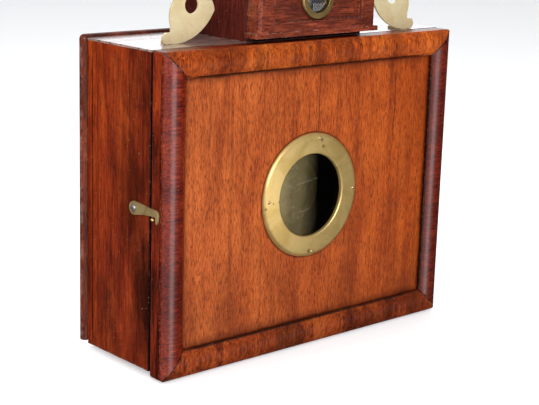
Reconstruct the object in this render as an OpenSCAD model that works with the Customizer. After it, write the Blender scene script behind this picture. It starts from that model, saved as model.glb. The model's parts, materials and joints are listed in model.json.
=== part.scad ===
// Box-form view camera with a windowed front door, a reflex finder housing on
// top and a focusing screen at the back. Millimetres, +Z up, front toward -Y.
// The origin is the mouth of the tripod bush, on the case underside.

/* [Case] */
// outside width of the case and of its front door
case_w = 301.6; // [200:0.1:420]
// height of the case boards
case_h = 241.9; // [160:0.1:340]
// depth of the case boards, front to back
case_d = 79.6; // [60:0.1:140]
// thickness of the side boards
side_t = 9; // [6:0.5:14]
// thickness of the bottom board
bottom_t = 8; // [6:0.5:12]
// how far the back board stands past the sides
back_lap = 4; // [2:0.5:8]
// thickness of the back board
back_t = 8; // [6:0.5:12]
// height of the two base runners
runner_h = 6; // [5:0.5:12]

/* [Front door] */
// gap between the door and the case
door_gap = 1.9; // [1:0.1:3]
// thickness of the door frame behind the mouldings
frame_t = 10.8; // [8:0.1:16]
// how far the door hangs below the case
door_drop = 4.6; // [2:0.1:5]
// overall door height
door_h = 246.4; // [160:0.1:340]
// width of the cushion mouldings
mould_w = 20.5; // [14:0.5:30]
// rise of the cushion above its edges
mould_rise = 4; // [2:0.5:8]
// thickness of the moulding at its edges
mould_edge = 2.1; // [1:0.1:4]
// outer radius of the brass window ring
ring_ro = 50; // [35:0.5:65]
// inner radius of the brass window ring
ring_ri = 33.5; // [25:0.5:50]
// thickness of the brass window ring
ring_t = 2.4; // [1.5:0.1:4]

/* [Lens and focus] */
// lens axis, sideways from the middle of the case
lens_x = -2.4; // [-10:0.1:10]
// lens axis height above the case underside
lens_z = 118.6; // [90:0.1:160]
// outer radius of the lens barrel
barrel_r = 20; // [14:0.5:24]
// pitch radius of the focusing pinion
pinion_r = 5; // [4:0.5:8]
// radius of the focusing knob
knob_r = 10; // [7:0.5:14]

/* [Finder] */
// sideways centre of the finder housing
finder_x = -1.5; // [-10:0.1:10]
// half width of the finder housing
finder_hw = 60; // [40:0.5:80]
// height of the finder side boards
finder_h = 52; // [40:0.5:80]
// radius of the finder lens ring
finder_ring_r = 16.8; // [12:0.1:17]

/* [Ears and hook] */
// sideways distance from the middle to the ear contact point
ear_x = 119.3; // [90:0.1:140]
// left ear plate position, front to back
ear_y_left = -21.6; // [-36:0.1:10]
// right ear plate position, front to back
ear_y_right = -34.6; // [-36:0.1:10]
// ear plate thickness
ear_t = 1.8; // [1:0.1:3]
// distance from the hook screw to the catch pin
hook_reach = 24.6; // [18:0.1:40]
// radius of the round end of the hook
hook_r = 5.2; // [4:0.1:8]

/* [Screen] */
// half width of the opening in the back board
open_hw = 105; // [80:1:120]
// half height of the opening in the back board
open_hh = 80; // [60:1:95]

/* [Hidden] */
$fn = 64;
eps = 0.01;
hw = case_w / 2;
yf = -case_d / 2;
yb = case_d / 2;
door_back = yf - door_gap;
core_front = door_back - frame_t;
face_y = core_front - mould_edge;
door_z0 = -door_drop;
door_z1 = door_z0 + door_h;
sight_hw = hw - mould_w;
sight_z0 = door_z0 + mould_w;
sight_z1 = door_z1 - mould_w;
panel_front = face_y + 2.7;
panel_t = 6;
panel_back = panel_front + panel_t;
panel_lap = 4;
ring_front = panel_front - ring_t;
glass_front = ring_front + 3.2;
glass_t = 2;
glass_r = 37;
mould_R = (mould_w * mould_w / 4 + mould_rise * mould_rise) / (2 * mould_rise);
top_lap = 1.6;
top_t = 8;
inner_hw = hw - side_t;
wall_top = case_h - top_lap;
leaf_t = 1;
leaf_w = 12;
knuckle_r = 2.4;
knuckle_off = 2.4;
pin_r = 1.1;
run = 0.05;
hinge_len = 40;
door_axis_x = hw + knuckle_off;
door_axis_y = yf - door_gap / 2;
door_hinges = [36, case_h - 76];
rear_y = yb + back_t;
rear_gap = 0.6;
screen_y = rear_y + rear_gap;
screen_t = 8;
screen_hw = 118;
screen_hh = 93;
mid_z = 120;
screen_axis_x = -screen_hw - knuckle_off;
screen_axis_y = rear_y + rear_gap / 2;
screen_hinges = [mid_z - 75, mid_z + 35];
button_x = 124.5;
shaft_y = 8;
shaft_z = 25;
shaft_r = 3;
pitch = PI * 1.0;
rail_x = 58;
foot_top = 16;
std_y0 = -24;
std_y1 = -16;
slide_y0 = -29.1;
lip_y0 = -31;
flange_y0 = -31.5;
barrel_y0 = -37.5;
barrel_y1 = -12;
hook_y = -21.6;
hook_z = 123.1;
hook_x0 = -hw - 0.1;
hook_t = 1.5;
pin_y = hook_y - hook_reach;
pin_z = hook_z - 4.1;
fin_l = finder_x - finder_hw;
fin_r = finder_x + finder_hw;
fin_t = 6;
fin_z0 = case_h;
fin_z1 = case_h + finder_h;
fdoor_gap = 2.3;
fdoor_back = yf - fdoor_gap;
fdoor_hw = 62;
fdoor_z0 = case_h + 4;
fdoor_lip = 3.7;
fdoor_z1 = fin_z1 + 5.5;
fdoor_axis_x = finder_x + fdoor_hw + knuckle_off;
fdoor_axis_y = yf - fdoor_gap / 2;
fhinge_z = case_h + 22;
fhinge_len = 20;
flens_z = case_h + 32;
lid_gap = 0.5;
lid_z0 = fin_z1 + lid_gap;
lid_t = 5;
lid_axis_y = yb + knuckle_off;
lid_axis_z = fin_z1 + lid_gap / 2;
lug_screws = [1.5, 9];
pin_spots = [[6.9, 45.5], [46.2, 0.2], [2.1, -46.2], [-44.7, 0.1]];
plug_spots = [[3.6, 44.5], [-40.5, -1.5]];
wood = [0.45, 0.2, 0.1];
light_wood = [0.66, 0.36, 0.17];
dark_wood = [0.3, 0.13, 0.08];
brass = [0.8, 0.66, 0.38];
pale_brass = [0.87, 0.79, 0.56];
steel = [0.55, 0.55, 0.55];
black = [0.06, 0.06, 0.06];
glassy = [0.5, 0.58, 0.56];

// a box given by its two opposite corners
module box(a, b) {
    translate(a)
        cube([b[0] - a[0], b[1] - a[1], b[2] - a[2]]);
}

// a flat shape drawn across and up, standing from y0 back by t
module upright(y0, t) {
    translate([0, y0 + t, 0])
        rotate([90, 0, 0])
            linear_extrude(t)
                children();
}

// a round bar lying front to back
module rod_y(r, y0, y1, x, z) {
    translate([x, y1, z])
        rotate([90, 0, 0])
            cylinder(r = r, h = y1 - y0);
}

// a round bar lying across the case
module rod_x(r, x0, x1, y, z) {
    translate([x0, y, z])
        rotate([0, 90, 0])
            cylinder(r = r, h = x1 - x0);
}

// a rectangle with rounded corners of radius r
module round_rect(w, h, r) {
    translate([-w / 2 + r, -h / 2])
        square([w - 2 * r, h]);
    translate([-w / 2, -h / 2 + r])
        square([w, h - 2 * r]);
    for (sx = [-1, 1])
        for (sy = [-1, 1])
            translate([sx * (w / 2 - r), sy * (h / 2 - r)])
                circle(r = r);
}

// one half of a butt hinge; pin line up the origin, timber toward -X,
// side 1 takes the odd knuckles and side -1 the even ones
module hinge_half(len, n, side, gap, bore) {
    seg = len / n;
    first = side > 0 ? 0 : 1;
    y0 = side > 0 ? gap / 2 : -gap / 2 - leaf_t;
    difference() {
        union() {
            box([-leaf_w, y0, 0], [-knuckle_r - 0.2, y0 + leaf_t, len]);
            for (i = [first : 2 : n - 1]) {
                translate([0, 0, i * seg + run])
                    cylinder(r = knuckle_r, h = seg - 2 * run);
                box([-knuckle_r - 0.2 - eps, y0, i * seg + run],
                    [-knuckle_r / 4, y0 + leaf_t, (i + 1) * seg - run]);
            }
        }
        translate([0, 0, -1])
            cylinder(r = bore, h = len + 2);
        for (z = [len / 4, 3 * len / 4])
            translate([-8, y0 - 1, z])
                rotate([-90, 0, 0])
                    cylinder(r = 1.2, h = leaf_t + 2, $fn = 24);
    }
}

// the shallow recess a hinge half is let into
module hinge_recess(len, side, gap) {
    y0 = side > 0 ? gap / 2 : -gap / 2 - leaf_t;
    box([-leaf_w, y0, 0], [0, y0 + leaf_t, len]);
}

// turns an upright hinge to lie across the back of the finder
module lying() {
    translate([finder_x + 20, lid_axis_y, lid_axis_z])
        rotate([-90, 0, 0])
            rotate([0, -90, 0])
                children();
}

module left_side() color(dark_wood)
    difference() {
        box([-hw, yf, 0], [-inner_hw, yb, wall_top]);
        rod_x(1.5, -hw - 1, -hw + 6, hook_y, hook_z);
    }

module right_side() color(dark_wood)
    difference() {
        box([inner_hw, yf, 0], [hw, yb, wall_top]);
        rod_x(shaft_r + run, inner_hw - 1, hw + 1, shaft_y, shaft_z);
        for (z = door_hinges)
            translate([door_axis_x, door_axis_y, z])
                hinge_recess(hinge_len, 1, door_gap);
    }

module top_board() color(wood)
    difference() {
        union() {
            box([-hw, yf, wall_top], [hw, yb, case_h]);
            box([-inner_hw, yf, case_h - top_t], [inner_hw, yb, wall_top + eps]);
        }
        for (s = [-1, 1])
            for (k = lug_screws)
                translate([s * (ear_x - k), (s < 0 ? ear_y_left : ear_y_right) + 6.8, case_h - 6])
                    cylinder(r = 1.2, h = 10, $fn = 24);
    }

module bottom_board() color(wood)
    difference() {
        box([-inner_hw, yf, 0], [inner_hw, yb, bottom_t]);
        translate([0, 0, -1])
            cylinder(r = 16, h = 3);
        translate([0, 0, -1])
            cylinder(r = 8, h = bottom_t + 2);
        for (a = [90, 210, 330])
            rotate([0, 0, a])
                translate([12, 0, 1])
                    cylinder(r = 1.2, h = 5.5, $fn = 24);
    }

module back_board() color(wood) {
    r = back_t / 2;
    bw = hw + back_lap;
    z0 = 2.6;
    z1 = case_h + 2.6;
    ym = yb + r;
    difference() {
        union() {
            box([-bw + r, yb, z0], [bw - r, rear_y, z1 - r]);
            box([-bw + r, yb + r / 2, z0], [bw - r, rear_y - r / 2, z1 - r]);
            for (s = [-1, 1])
                translate([s * (bw - r), ym, z0])
                    cylinder(r = r, h = z1 - r - z0);
            rod_x(r, -bw + r, bw - r, ym, z1 - r);
            for (s = [-1, 1])
                translate([s * (bw - r), ym, z1 - r])
                    sphere(r = r);
        }
        box([-open_hw, yb - 1, mid_z - open_hh], [open_hw, rear_y + 1, mid_z + open_hh]);
        for (z = screen_hinges) {
            translate([screen_axis_x, screen_axis_y, z])
                mirror([1, 0, 0])
                    mirror([0, 1, 0])
                        hinge_recess(hinge_len, 1, rear_gap);
            translate([screen_axis_x, screen_axis_y, z - 0.2])
                cylinder(r = knuckle_r + 0.2, h = hinge_len + 0.4);
        }
        rod_y(2.5, rear_y - 6, rear_y + 1, button_x, mid_z);
    }
}

module light_seal() color(black)
    upright(yf - 1.4, 1.4)
        difference() {
            translate([-1.5, case_h / 2])
                round_rect(2 * inner_hw + 3, case_h - 6, 4);
            translate([-1.5, case_h / 2])
                round_rect(2 * inner_hw - 9, case_h - 18, 2);
        }

module base_runner_left() color(dark_wood)
    box([-88, -30, -runner_h], [-70, 30, 0]);

module base_runner_right() color(dark_wood)
    box([70, -30, -runner_h], [88, 30, 0]);

module tripod_bush() color(brass)
    difference() {
        union() {
            cylinder(r = 16, h = 2);
            cylinder(r = 8, h = bottom_t);
        }
        translate([0, 0, -1])
            cylinder(r = 4.76, h = bottom_t + 2);
        for (a = [90, 210, 330])
            rotate([0, 0, a])
                translate([12, 0, -1])
                    cylinder(r = 1.2, h = 4, $fn = 24);
    }

// a small brass screw with a low round head, pointing down from its head
module small_screw(shank) {
    translate([0, 0, -shank])
        cylinder(r = 1.2, h = shank + eps, $fn = 24);
    difference() {
        cylinder(r = 2.2, h = 1.1, $fn = 32);
        box([-3, -0.3, 0.6], [3, 0.3, 2]);
    }
}

module wood_screws() color(brass) {
    for (a = [90, 210, 330])
        rotate([0, 0, a])
            translate([12, 0, 0])
                mirror([0, 0, 1])
                    small_screw(6);
    for (s = [-1, 1])
        for (k = lug_screws)
            translate([s * (ear_x - k), (s < 0 ? ear_y_left : ear_y_right) + 6.8, case_h + 2])
                small_screw(6);
}

module door_hinge_fixed() color(brass)
    for (z = door_hinges)
        translate([door_axis_x, door_axis_y, z])
            hinge_half(hinge_len, 5, 1, door_gap, pin_r);

module screen_hinge_fixed() color(brass)
    for (z = screen_hinges)
        translate([screen_axis_x, screen_axis_y, z])
            mirror([1, 0, 0])
                mirror([0, 1, 0])
                    hinge_half(hinge_len, 5, 1, rear_gap, pin_r);

module finder_hinge_fixed() color(brass)
    translate([fdoor_axis_x, fdoor_axis_y, fhinge_z])
        hinge_half(fhinge_len, 3, 1, fdoor_gap, pin_r);

module lid_hinge_fixed() color(brass)
    lying()
        hinge_half(hinge_len, 5, 1, lid_gap, pin_r);

module hinge_pins() color(steel) {
    for (z = door_hinges)
        translate([door_axis_x, door_axis_y, z])
            cylinder(r = pin_r, h = hinge_len);
    for (z = screen_hinges)
        translate([screen_axis_x, screen_axis_y, z])
            cylinder(r = pin_r, h = hinge_len);
    translate([fdoor_axis_x, fdoor_axis_y, fhinge_z])
        cylinder(r = pin_r, h = fhinge_len);
    lying()
        cylinder(r = pin_r, h = hinge_len);
}

module latch_screw() color(steel) {
    rod_x(1.5, hook_x0 - hook_t - 0.2, -hw + 6, hook_y, hook_z);
    difference() {
        intersection() {
            translate([hook_x0 - hook_t - 0.1 + 1.4, hook_y, hook_z])
                sphere(r = 3.2);
            box([-hw - 6, hook_y - 4, hook_z - 4],
                [hook_x0 - hook_t - 0.1, hook_y + 4, hook_z + 4]);
        }
        box([-hw - 6, hook_y - 4, hook_z - 0.35],
            [hook_x0 - hook_t - 1.2, hook_y + 4, hook_z + 0.35]);
    }
}

// one side of the track the lens standard's foot runs in
module guide_rail(s) {
    difference() {
        box([min(s * 54, s * 66), -36, bottom_t], [max(s * 54, s * 66), 36, 18]);
        box([min(s * 50, s * rail_x), -37, bottom_t - 1],
            [max(s * 50, s * rail_x), 37, foot_top + run]);
    }
}

module guide_rail_left() color(brass)
    guide_rail(-1);

module guide_rail_right() color(brass)
    guide_rail(1);

module button_stud() color(brass) {
    rod_y(2.5, rear_y - 6, screen_y + screen_t + 2.2, button_x, mid_z);
    rod_y(4, screen_y + screen_t + 2.15, screen_y + screen_t + 3.4, button_x, mid_z);
}

// flat crescent ear, toe outward, seen from the front with its contact at 0
module ear_shape() {
    difference() {
        intersection() {
            translate([3, 42])
                circle(r = 42, $fn = 96);
            translate([20, 20])
                circle(r = 21, $fn = 96);
        }
        translate([19, 28])
            circle(r = 6.5);
    }
    intersection() {
        translate([3, 42])
            circle(r = 42, $fn = 96);
        square([24, 12]);
    }
    translate([-3.4, 4.3])
        circle(r = 4.25);
    translate([-3.4, 0.35])
        square([5, 8.1]);
}

// the ear plate with the lug behind it that it is screwed down by
module ear(y) {
    upright(y, ear_t)
        ear_shape();
    difference() {
        box([-2, y + ear_t - eps, 0], [12.5, y + 10, 2]);
        for (k = lug_screws)
            translate([k, y + 6.8, -1])
                cylinder(r = 1.2, h = 4, $fn = 24);
    }
}

module ear_left() color(pale_brass)
    translate([-ear_x, 0, case_h])
        ear(ear_y_left);

module ear_right() color(pale_brass)
    translate([ear_x, 0, case_h])
        mirror([1, 0, 0])
            ear(ear_y_right);

// finder side board, its inner face grooved for the screen
module finder_side(x0, x1, gx0, gx1) {
    difference() {
        box([x0, yf, fin_z0], [x1, yb, fin_z1]);
        box([gx0, -30, fin_z1 - 6], [gx1, 30, fin_z1 - 4]);
    }
}

module finder_left_side() color(wood)
    finder_side(fin_l, fin_l + fin_t, fin_l + fin_t - 2, fin_l + fin_t + 1);

module finder_right_side() color(wood)
    difference() {
        finder_side(fin_r - fin_t, fin_r, fin_r - fin_t - 1, fin_r - fin_t + 2);
        translate([fdoor_axis_x, fdoor_axis_y, fhinge_z])
            hinge_recess(fhinge_len, 1, fdoor_gap);
    }

module finder_back() color(wood)
    difference() {
        box([fin_l + fin_t, yb - fin_t, fin_z0], [fin_r - fin_t, yb, fin_z1]);
        lying()
            hinge_recess(hinge_len, 1, lid_gap);
    }

module finder_mirror() color(steel)
    translate([finder_x, 4, fin_z0 + 26])
        rotate([45, 0, 0])
            translate([-finder_hw + fin_t, -26, -1])
                cube([2 * (finder_hw - fin_t), 44, 2]);

module finder_screen() color(glassy)
    box([fin_l + fin_t - 2, -30, fin_z1 - 6], [fin_r - fin_t + 2, 30, fin_z1 - 4]);

// outline of the door with its corners eased
module door_outline() {
    translate([0, (door_z0 + door_z1) / 2])
        round_rect(case_w, door_h, 3);
}

module door_frame() color(dark_wood)
    difference() {
        upright(core_front, frame_t)
            door_outline();
        box([-sight_hw - panel_lap, core_front - 1, sight_z0 - panel_lap],
            [sight_hw + panel_lap, panel_back, sight_z1 + panel_lap]);
        box([-sight_hw, core_front, sight_z0],
            [sight_hw, door_back + 1, sight_z1]);
        for (z = door_hinges)
            translate([door_axis_x, door_axis_y, z])
                hinge_recess(hinge_len, -1, door_gap);
        rod_x(0.9, -hw - 1, -hw + 7, pin_y, pin_z);
    }

module door_panel() color(light_wood)
    difference() {
        box([-sight_hw - panel_lap, panel_front, sight_z0 - panel_lap],
            [sight_hw + panel_lap, panel_back, sight_z1 + panel_lap]);
        rod_y(ring_ri + 0.5, panel_front - 1, panel_back + 1, lens_x, lens_z);
        rod_y(glass_r + 0.2, panel_front - 1, glass_front + glass_t, lens_x, lens_z);
        for (p = pin_spots)
            rod_y(0.7, panel_front - 1, panel_front + 4, lens_x + p[0], lens_z + p[1]);
    }

// cross-section of the cushion moulding, centred, front toward -Y
module cushion() {
    translate([-mould_w / 2, face_y])
        square([mould_w, mould_edge]);
    intersection() {
        translate([0, face_y - mould_rise + mould_R])
            circle(r = mould_R, $fn = 128);
        translate([-mould_w / 2, face_y - mould_rise - 1])
            square([mould_w, mould_rise + 1 + eps]);
    }
}

// one mitred length of moulding; q picks bottom, right, top or left
module mitred(q) {
    zc = (door_z0 + door_z1) / 2;
    hh = door_h / 2;
    m = mould_w;
    g = 0.22;
    pts = q == 0 ? [[-hw + g, -hh - 1], [hw - g, -hh - 1], [hw - g, -hh],
                    [hw - m - g, -hh + m], [-hw + m + g, -hh + m], [-hw + g, -hh]]
        : q == 1 ? [[hw + 1, -hh + g], [hw + 1, hh - g], [hw, hh - g],
                    [hw - m, hh - m - g], [hw - m, -hh + m + g], [hw, -hh + g]]
        : q == 2 ? [[hw - g, hh + 1], [-hw + g, hh + 1], [-hw + g, hh],
                    [-hw + m + g, hh - m], [hw - m - g, hh - m], [hw - g, hh]]
        : [[-hw - 1, hh - g], [-hw - 1, -hh + g], [-hw, -hh + g],
           [-hw + m, -hh + m + g], [-hw + m, hh - m - g], [-hw, hh - g]];
    intersection() {
        children();
        upright(face_y - mould_rise - 2, 12)
            translate([0, zc])
                polygon(pts);
        upright(face_y - mould_rise - 2, 12)
            door_outline();
    }
}

// an upright length of cushion moulding with its middle at x
module stile(x) {
    translate([x, 0, door_z0 - 1])
        linear_extrude(door_h + 2)
            cushion();
}

// a level length of cushion moulding with its middle at z
module rail(z) {
    translate([-hw - 1, 0, z])
        rotate([0, 90, 0])
            linear_extrude(case_w + 2)
                cushion();
}

module moulding_top() color(light_wood)
    mitred(2)
        rail(door_z1 - mould_w / 2);

module moulding_bottom() color(light_wood)
    mitred(0)
        rail(door_z0 + mould_w / 2);

module moulding_left() color(wood)
    mitred(3)
        stile(-hw + mould_w / 2);

module moulding_right() color(wood)
    mitred(1)
        stile(hw - mould_w / 2);

module window_ring() color(brass)
    difference() {
        translate([lens_x, 0, lens_z])
            rotate([90, 0, 0])
                rotate_extrude($fn = 128)
                    polygon([[ring_ri, -glass_front], [glass_r, -glass_front],
                             [glass_r, -panel_front], [ring_ro, -panel_front],
                             [ring_ro, -panel_front + 0.6],
                             [ring_ro - 0.6, -panel_front + 1.4],
                             [ring_ro - 1.8, -ring_front - 0.25],
                             [ring_ro - 3, -ring_front],
                             [ring_ri + 0.8, -ring_front],
                             [ring_ri, -ring_front - 0.8]]);
        for (p = pin_spots)
            rod_y(0.7, ring_front - 1, panel_front + 1, lens_x + p[0], lens_z + p[1]);
        for (p = plug_spots)
            rod_y(0.8, ring_front - 1, ring_front + 0.8, lens_x + p[0], lens_z + p[1]);
    }

module window_glass() color(glassy)
    rod_y(glass_r, glass_front, glass_front + glass_t, lens_x, lens_z);

module window_pins() color(brass)
    for (p = pin_spots) {
        rod_y(0.7, ring_front - 0.2, panel_front + 4, lens_x + p[0], lens_z + p[1]);
        intersection() {
            translate([lens_x + p[0], ring_front + 0.75, lens_z + p[1]])
                sphere(r = 1.45, $fn = 32);
            box([lens_x + p[0] - 2, ring_front - 2, lens_z + p[1] - 2],
                [lens_x + p[0] + 2, ring_front, lens_z + p[1] + 2]);
        }
    }

module door_hinge_leaf() color(brass)
    for (z = door_hinges)
        translate([door_axis_x, door_axis_y, z])
            hinge_half(hinge_len, 5, -1, door_gap, pin_r + run);

module catch_pin() color(pale_brass)
    translate([-hw, pin_y, pin_z])
        rotate([0, 90, 0])
            rotate_extrude($fn = 96)
                polygon([[0, -4.2], [0.8, -4], [1.4, -3.3], [1.6, -2.6],
                         [1.4, -1.9], [0.9, -1.3], [0.9, 7], [0, 7]]);

module latch_hook() color(brass)
    translate([hook_x0 - hook_t, hook_y, hook_z])
        rotate([90, 0, 90])
            linear_extrude(hook_t)
                difference() {
                    union() {
                        circle(r = hook_r);
                        polygon([[0, hook_r], [-9, 4.6], [-20, 3.4], [-27.5, 3.1],
                                 [-29.4, 1.6], [-29.9, -1.6], [-29.2, -5.4],
                                 [-27.9, -7], [-26.9, -6.6], [-26.6, -4.4],
                                 [-26.6, -2.1], [-23, -1.9], [-12, -2.8],
                                 [-4, -4.4], [0, -hook_r]]);
                    }
                    circle(r = 1.5 + run);
                }

// front of the finder, a framed board with a bead along its foot
module finder_door() color(wood)
    translate([finder_x, 0, 0])
        difference() {
            union() {
                box([-fdoor_hw, face_y + 4, fdoor_z0 + fdoor_lip - eps],
                    [fdoor_hw, fdoor_back, fdoor_z1]);
                box([-fdoor_hw + 4, face_y, fdoor_z0 + fdoor_lip - eps],
                    [fdoor_hw - 4, fdoor_back, fdoor_z1]);
                for (s = [-1, 1])
                    translate([s * (fdoor_hw - 4), face_y + 4, fdoor_z0 + fdoor_lip - eps])
                        cylinder(r = 4, h = fdoor_z1 - fdoor_z0 - fdoor_lip + eps);
                box([-fdoor_hw - 2.45, face_y - 0.6, fdoor_z0],
                    [fdoor_hw + 2.35, fdoor_back, fdoor_z0 + fdoor_lip]);
            }
            box([-46, face_y - 1, fdoor_z0 + 11], [46, face_y + 3, fdoor_z1 - 8]);
            rod_y(11.5, face_y, fdoor_back + 1, 0, flens_z);
            rod_y(13.5, face_y, face_y + 7, 0, flens_z);
            translate([fdoor_axis_x - finder_x, fdoor_axis_y, fhinge_z])
                hinge_recess(fhinge_len, -1, fdoor_gap);
        }

module finder_lens_ring() color(brass)
    translate([finder_x, 0, flens_z])
        rotate([90, 0, 0])
            rotate_extrude($fn = 96)
                polygon([[10.5, -face_y - 7], [13.5, -face_y - 7], [13.5, -face_y - 3],
                         [finder_ring_r, -face_y - 3], [finder_ring_r, -face_y - 1.6],
                         [finder_ring_r - 1, -face_y - 0.6], [11.5, -face_y - 0.6],
                         [11.5, -face_y - 5], [10.5, -face_y - 5]]);

module finder_lens() color(glassy)
    intersection() {
        rod_y(11.5, face_y + 1, face_y + 5, finder_x, flens_z);
        translate([finder_x, face_y + 1.6 + 40, flens_z])
            sphere(r = 40, $fn = 240);
    }

module finder_hinge_leaf() color(brass)
    translate([fdoor_axis_x, fdoor_axis_y, fhinge_z])
        hinge_half(fhinge_len, 3, -1, fdoor_gap, pin_r + run);

module finder_lid() color(wood)
    difference() {
        box([fin_l - 1, yf, lid_z0], [fin_r + 1, yb, lid_z0 + lid_t]);
        lying()
            hinge_recess(hinge_len, -1, lid_gap);
    }

module lid_hinge_leaf() color(brass)
    lying()
        hinge_half(hinge_len, 5, -1, lid_gap, pin_r + run);

module lens_standard() color(light_wood)
    difference() {
        union() {
            box([-rail_x + 0.1, std_y0, bottom_t + run], [rail_x - 0.1, 14, foot_top]);
            box([-53, std_y0, foot_top - eps], [53, std_y1, 20]);
            box([-70, std_y0, 19.5], [70, std_y1, 206]);
            for (s = [-1, 1]) {
                box([lens_x + min(s * 46.1, s * 54), lip_y0, lens_z - 66],
                    [lens_x + max(s * 46.1, s * 54), std_y0 + eps, lens_z + 72]);
                box([lens_x + min(s * 42, s * 54), lip_y0, lens_z - 66],
                    [lens_x + max(s * 42, s * 54), slide_y0, lens_z + 72]);
            }
        }
        box([lens_x - 26, std_y0 - 1, lens_z - 34], [lens_x + 26, std_y1 + 1, lens_z + 39]);
    }

module focus_rack() color(brass) {
    box([44.5, -13, foot_top], [51.5, 13, 18.8]);
    for (i = [-6 : 0])
        translate([44.5, shaft_y + (i + 0.5) * pitch, 18.8 - eps])
            rotate([90, 0, 90])
                linear_extrude(7)
                    polygon([[-0.95, 0], [0.95, 0], [0.4, 2.1], [-0.4, 2.1]]);
}

// stepped pleats of the bellows between the standard and the back board
module bellows() color(black) {
    n = 12;
    y0 = std_y1 + 0.3;
    y1 = yb - 0.35;
    d = (y1 - y0) / n;
    for (i = [0 : n - 1]) {
        t = i / (n - 1);
        u = max(i - 1, 0) / (n - 1);
        ow = 34 + t * 76;
        oh = 44 + t * 41;
        iw = 34 + u * 76 - 3;
        ih = 44 + u * 41 - 3;
        cz = (lens_z + 2) * (1 - t) + mid_z * t;
        difference() {
            box([lens_x * (1 - t) - ow, y0 + i * d, cz - oh],
                [lens_x * (1 - t) + ow, y0 + (i + 1) * d + (i < n - 1 ? eps : 0), cz + oh]);
            box([lens_x * (1 - t) - iw, y0 + i * d - 1, cz - ih],
                [lens_x * (1 - t) + iw, y0 + (i + 1) * d + 1, cz + ih]);
        }
    }
}

module rising_panel() color(light_wood)
    difference() {
        box([lens_x - 46, slide_y0 + run, lens_z - 54],
            [lens_x + 46, std_y0 - run, lens_z + 54]);
        rod_y(barrel_r, slide_y0 - 1, std_y0 + 1, lens_x, lens_z);
    }

module lens_flange() color(brass)
    difference() {
        rod_y(27, flange_y0, slide_y0 + run, lens_x, lens_z);
        rod_y(barrel_r, flange_y0 - 1, slide_y0 + 1, lens_x, lens_z);
    }

module lens_barrel() color(brass)
    difference() {
        union() {
            rod_y(barrel_r, barrel_y0 + 1, barrel_y1, lens_x, lens_z);
            rod_y(barrel_r + 2, barrel_y0, barrel_y0 + 3, lens_x, lens_z);
        }
        rod_y(15.5, barrel_y0 - 1, barrel_y1 + 1, lens_x, lens_z);
        rod_y(17.5, barrel_y0 - 1, barrel_y0 + 6.5, lens_x, lens_z);
        rod_y(17.5, barrel_y1 - 4, barrel_y1 + 1, lens_x, lens_z);
    }

module front_glass() color(glassy)
    intersection() {
        rod_y(17.5, barrel_y0 + 1, barrel_y0 + 6.5, lens_x, lens_z);
        translate([lens_x, barrel_y0 + 1.4 + 70, lens_z])
            sphere(r = 70, $fn = 240);
    }

module rear_glass() color(glassy)
    intersection() {
        rod_y(17.5, barrel_y1 - 4, barrel_y1, lens_x, lens_z);
        translate([lens_x, barrel_y1 - 0.4 - 70, lens_z])
            sphere(r = 70, $fn = 240);
    }

module iris_ring() color(pale_brass)
    difference() {
        union() {
            rod_y(barrel_r + 2.4, barrel_y0 + 3.1, flange_y0 - 0.1, lens_x, lens_z);
            box([lens_x - 1.5, barrel_y0 + 3.4, lens_z + barrel_r + 1],
                [lens_x + 1.5, flange_y0 - 0.5, lens_z + barrel_r + 6]);
        }
        rod_y(barrel_r + run, barrel_y0, flange_y0 + 1, lens_x, lens_z);
    }

module pinion_shaft() color(steel)
    difference() {
        union() {
            rod_x(shaft_r, 40, hw + 12, shaft_y, shaft_z);
            rod_x(pinion_r - 1.2, 44, 52, shaft_y, shaft_z);
            for (i = [0 : 9])
                translate([44, shaft_y, shaft_z])
                    rotate([36 * i, 0, 0])
                        rotate([90, 0, 90])
                            linear_extrude(8)
                                polygon([[-0.95, -3], [0.95, -3], [0.4, -5.95],
                                         [-0.4, -5.95]]);
        }
        box([hw + 11.4, shaft_y - 4, shaft_z - 0.4], [hw + 14, shaft_y + 4, shaft_z + 0.4]);
    }

module focus_knob() color(brass)
    difference() {
        union() {
            rod_x(6, hw + 0.3, hw + 2.5, shaft_y, shaft_z);
            rod_x(knob_r, hw + 2.4, hw + 11, shaft_y, shaft_z);
        }
        rod_x(shaft_r, hw - 1, hw + 14, shaft_y, shaft_z);
        for (i = [0 : 19])
            translate([hw + 3.4, shaft_y, shaft_z])
                rotate([18 * i, 0, 0])
                    translate([0, 0, knob_r + 0.3])
                        rotate([0, 90, 0])
                            cylinder(r = 0.8, h = 6.6, $fn = 24);
    }

module screen_frame() color(wood)
    difference() {
        box([-screen_hw, screen_y, mid_z - screen_hh],
            [screen_hw, screen_y + screen_t, mid_z + screen_hh]);
        box([-98, screen_y - 1, mid_z - 73], [98, screen_y + screen_t + 1, mid_z + 73]);
        box([-102, screen_y - 1, mid_z - 77], [102, screen_y + 3, mid_z + 77]);
        for (z = screen_hinges)
            translate([screen_axis_x, screen_axis_y, z])
                mirror([1, 0, 0])
                    mirror([0, 1, 0])
                        hinge_recess(hinge_len, -1, rear_gap);
    }

module ground_glass() color(glassy)
    box([-102, screen_y + 1, mid_z - 77], [102, screen_y + 3, mid_z + 77]);

module screen_hinge_leaf() color(brass)
    for (z = screen_hinges)
        translate([screen_axis_x, screen_axis_y, z])
            mirror([1, 0, 0])
                mirror([0, 1, 0])
                    hinge_half(hinge_len, 5, -1, rear_gap, pin_r + run);

module turn_button() color(brass)
    upright(screen_y + screen_t + 0.1, 2)
        difference() {
            union() {
                translate([button_x, mid_z])
                    circle(r = 4.5);
                translate([button_x - 14, mid_z - 3.5])
                    square([14, 7]);
                translate([button_x - 14, mid_z])
                    circle(r = 3.5);
            }
            translate([button_x, mid_z])
                circle(r = 2.5 + run);
        }

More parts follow.
